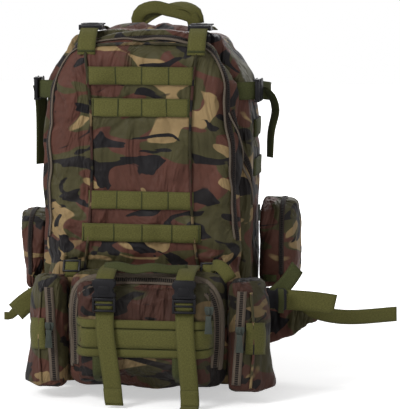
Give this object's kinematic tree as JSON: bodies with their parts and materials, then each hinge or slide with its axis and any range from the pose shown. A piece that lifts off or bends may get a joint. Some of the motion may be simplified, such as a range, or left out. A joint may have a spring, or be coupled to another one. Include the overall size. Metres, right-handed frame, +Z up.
{
  "type": "hunting backpack",
  "caption": "Woodland camouflage backpack whose front folds down, with a strap-on waist pack, side pouches, webbing rows, buckled straps, zips and a carry handle.",
  "frame": {"origin": "on the ground, midway across the base, under the plane where the main compartment opens", "axes": "+X to the right seen from the front, -Y out of the front with the webbing rows, +Z up"},
  "size_m": [0.5619, 0.3735, 0.539],
  "materials": {
    "camo_cloth": "woodland camouflage coated cloth",
    "webbing": "woven olive webbing",
    "buckle_plastic": "black moulded plastic",
    "pull_plastic": "dark grey-green moulded plastic",
    "padding": "open mesh over foam"
  },
  "bodies": {
    "pack": {"main_shell": "camo_cloth", "lower_front": "camo_cloth", "back_pad_left": "padding", "back_pad_right": "padding", "top_socket_left": "buckle_plastic", "top_socket_right": "buckle_plastic", "top_strap_left": "webbing", "top_strap_right": "webbing", "side_socket_left": "buckle_plastic", "side_socket_right": "buckle_plastic", "side_loop_left": "webbing", "side_loop_right": "webbing", "lower_webbing_left": "webbing", "lower_webbing_right": "webbing"},
    "front_flap": {"flap_back": "camo_cloth", "front_bag": "camo_cloth", "webbing_panel": "webbing", "top_pocket": "camo_cloth", "top_prong_left": "buckle_plastic", "top_prong_right": "buckle_plastic", "front_drop_left": "webbing", "front_drop_right": "webbing", "side_prong_left": "buckle_plastic", "side_prong_right": "buckle_plastic", "side_anchor_left": "webbing", "side_anchor_right": "webbing"},
    "main_pull_tab": {"main_pull": "pull_plastic"},
    "handle": {"carry_handle": "webbing"},
    "waist_pack": {"waist_rear": "camo_cloth", "waist_front": "camo_cloth", "waist_slider": "pull_plastic", "clip_strap_left": "webbing", "clip_strap_right": "webbing", "clip_socket_left": "buckle_plastic", "clip_socket_right": "buckle_plastic", "strap_tail_left": "webbing", "strap_tail_right": "webbing", "wing_left": "camo_cloth", "wing_right": "camo_cloth"},
    "waist_pull_tab": {"waist_pull": "pull_plastic"},
    "clip_half_left": {"clip_prong_left": "buckle_plastic"},
    "wing_slider_left_body": {"wing_slider_left": "pull_plastic"},
    "wing_pull_left_tab": {"wing_pull_left": "pull_plastic"},
    "shoulder_left": {"shoulder_strap_left": "padding"},
    "hip_left": {"hip_wing_left": "camo_cloth", "hip_end_left": "webbing"},
    "pouch_left": {"pouch_tray_left": "camo_cloth"},
    "pouch_left_cover": {"pouch_lid_left": "camo_cloth"},
    "side_strap_left": {"side_stub_left": "webbing"},
    "clip_half_right": {"clip_prong_right": "buckle_plastic"},
    "wing_slider_right_body": {"wing_slider_right": "pull_plastic"},
    "wing_pull_right_tab": {"wing_pull_right": "pull_plastic"},
    "shoulder_right": {"shoulder_strap_right": "padding"},
    "hip_right": {"hip_wing_right": "camo_cloth", "hip_end_right": "webbing"},
    "pouch_right": {"pouch_tray_right": "camo_cloth"},
    "pouch_right_cover": {"pouch_lid_right": "camo_cloth"},
    "side_strap_right": {"side_stub_right": "webbing", "stub_buckle": "buckle_plastic"}
  },
  "joints": [
    {"name": "flap_fold", "type": "hinge", "parent": "pack", "child": "front_flap", "pos_m": [0, -0.076, 0.198], "axis": [1, 0, 0], "range_deg": [0, 75]},
    {"name": "main_pull_swing", "type": "hinge", "parent": "pack", "child": "main_pull_tab", "pos_m": [0.1554, -0.005, 0.262], "axis": [0, -1, 0], "range_deg": [0, 75]},
    {"name": "handle_swing", "type": "hinge", "parent": "pack", "child": "handle", "pos_m": [0, 0.07, 0.5179], "axis": [1, 0, 0], "range_deg": [-70, 70]},
    {"name": "waist_pack_off", "type": "slide", "parent": "pack", "child": "waist_pack", "axis": [0, -1, 0], "range_m": [0, 0.16]},
    {"name": "waist_pull_swing", "type": "hinge", "parent": "waist_pack", "child": "waist_pull_tab", "pos_m": [0.107, -0.1698, 0.13], "axis": [-1, 0, 0], "range_deg": [0, 75]},
    {"name": "clip_left_release", "type": "slide", "parent": "waist_pack", "child": "clip_half_left", "axis": [0, 0, -1], "range_m": [0, 0.018]},
    {"name": "wing_zip_left_run", "type": "slide", "parent": "waist_pack", "child": "wing_slider_left_body", "axis": [0, 0, 1], "range_m": [0, 0.044]},
    {"name": "wing_pull_left_swing", "type": "hinge", "parent": "wing_slider_left_body", "child": "wing_pull_left_tab", "pos_m": [-0.1184, -0.1477, 0.1], "axis": [-1, 0, 0], "range_deg": [0, 75]},
    {"name": "shoulder_left_swing", "type": "hinge", "parent": "pack", "child": "shoulder_left", "pos_m": [-0.063, 0.1114, 0.474], "axis": [1, 0, 0], "range_deg": [0, 30], "deforming": ["lower_webbing_left"]},
    {"name": "hip_left_swing", "type": "hinge", "parent": "pack", "child": "hip_left", "pos_m": [-0.1554, 0.083, 0.096], "axis": [0, 0, -1], "range_deg": [-65, 0]},
    {"name": "pouch_left_off", "type": "slide", "parent": "pack", "child": "pouch_left", "axis": [-1, 0, 0], "range_m": [0, 0.14]},
    {"name": "pouch_left_open", "type": "hinge", "parent": "pouch_left", "child": "pouch_left_cover", "pos_m": [-0.176, 0.096, 0.187], "axis": [0, 0, -1], "range_deg": [0, 110]},
    {"name": "side_strap_left_swing", "type": "hinge", "parent": "pack", "child": "side_strap_left", "pos_m": [-0.1474, -0.0428, 0.133], "axis": [0, 0, -1], "range_deg": [-25, 12]},
    {"name": "clip_right_release", "type": "slide", "parent": "waist_pack", "child": "clip_half_right", "axis": [0, 0, -1], "range_m": [0, 0.018]},
    {"name": "wing_zip_right_run", "type": "slide", "parent": "waist_pack", "child": "wing_slider_right_body", "axis": [0, 0, 1], "range_m": [0, 0.044]},
    {"name": "wing_pull_right_swing", "type": "hinge", "parent": "wing_slider_right_body", "child": "wing_pull_right_tab", "pos_m": [0.1464, -0.1477, 0.1], "axis": [-1, 0, 0], "range_deg": [0, 75]},
    {"name": "shoulder_right_swing", "type": "hinge", "parent": "pack", "child": "shoulder_right", "pos_m": [0.063, 0.1114, 0.474], "axis": [1, 0, 0], "range_deg": [0, 30], "deforming": ["lower_webbing_right"]},
    {"name": "hip_right_swing", "type": "hinge", "parent": "pack", "child": "hip_right", "pos_m": [0.1554, 0.083, 0.096], "axis": [0, 0, 1], "range_deg": [0, 60]},
    {"name": "pouch_right_off", "type": "slide", "parent": "pack", "child": "pouch_right", "axis": [1, 0, 0], "range_m": [0, 0.14]},
    {"name": "pouch_right_open", "type": "hinge", "parent": "pouch_right", "child": "pouch_right_cover", "pos_m": [0.186, 0.096, 0.202], "axis": [0, 0, 1], "range_deg": [0, 110]},
    {"name": "side_strap_right_swing", "type": "hinge", "parent": "pack", "child": "side_strap_right", "pos_m": [0.1474, -0.0428, 0.133], "axis": [0, 0, 1], "range_deg": [-25, 12]}
  ]
}
